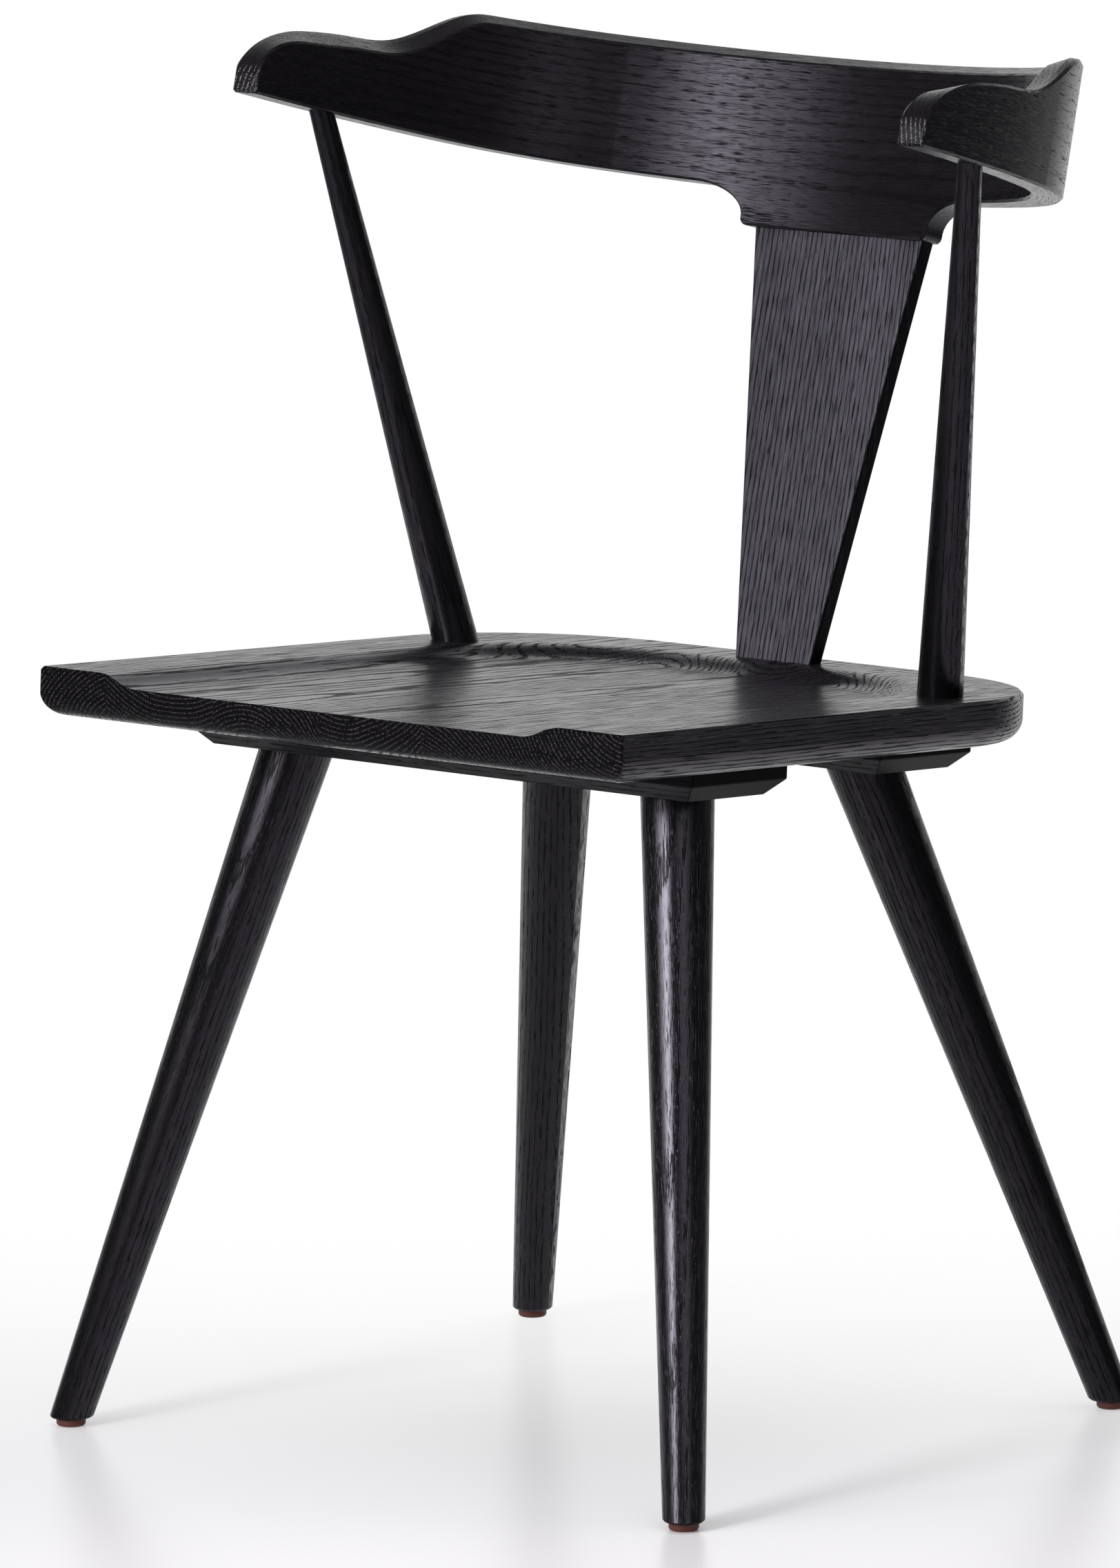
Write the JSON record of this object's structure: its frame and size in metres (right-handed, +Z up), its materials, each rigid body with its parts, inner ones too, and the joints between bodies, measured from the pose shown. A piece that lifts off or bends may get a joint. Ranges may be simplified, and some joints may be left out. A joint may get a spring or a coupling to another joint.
{
  "type": "dining chair",
  "caption": "Black-stained oak dining chair: dished plank seat on splayed round legs, slender back posts, a tapered splat and a bent crest rail that curves round into short arms.",
  "frame": {"origin": "on the floor, under the middle of the chair's outline box", "axes": "+Z up, the chair's front faces -Y, +X is to the right of someone who looks at its front"},
  "size_m": [0.514, 0.5273, 0.8106],
  "materials": {
    "seat_oak": "black-stained open-grain oak, satin",
    "cleat_oak": "black-stained open-grain oak, satin",
    "leg_oak": "black-stained open-grain oak, satin",
    "post_oak": "black-stained open-grain oak, satin",
    "splat_oak": "black-stained open-grain oak, satin",
    "crest_oak": "black-stained open-grain oak, satin",
    "glide_plastic": "plain brown plastic",
    "screw_steel": "blackened",
    "nail_steel": "bright"
  },
  "bodies": {
    "root": {"seat_board_1": "seat_oak", "seat_board_2": "seat_oak", "seat_board_3": "seat_oak", "seat_board_4": "seat_oak", "seat_board_5": "seat_oak", "seat_board_6": "seat_oak", "front_cleat": "cleat_oak", "rear_cleat": "cleat_oak", "front_left_leg": "leg_oak", "front_right_leg": "leg_oak", "rear_left_leg": "leg_oak", "rear_right_leg": "leg_oak", "front_left_glide": "glide_plastic", "front_right_glide": "glide_plastic", "rear_left_glide": "glide_plastic", "rear_right_glide": "glide_plastic", "left_back_post": "post_oak", "right_back_post": "post_oak", "back_splat": "splat_oak", "crest_rail": "crest_oak", "front_cleat_screws": "screw_steel", "rear_cleat_screws": "screw_steel", "glide_nails": "nail_steel"}
  },
  "joints": []
}
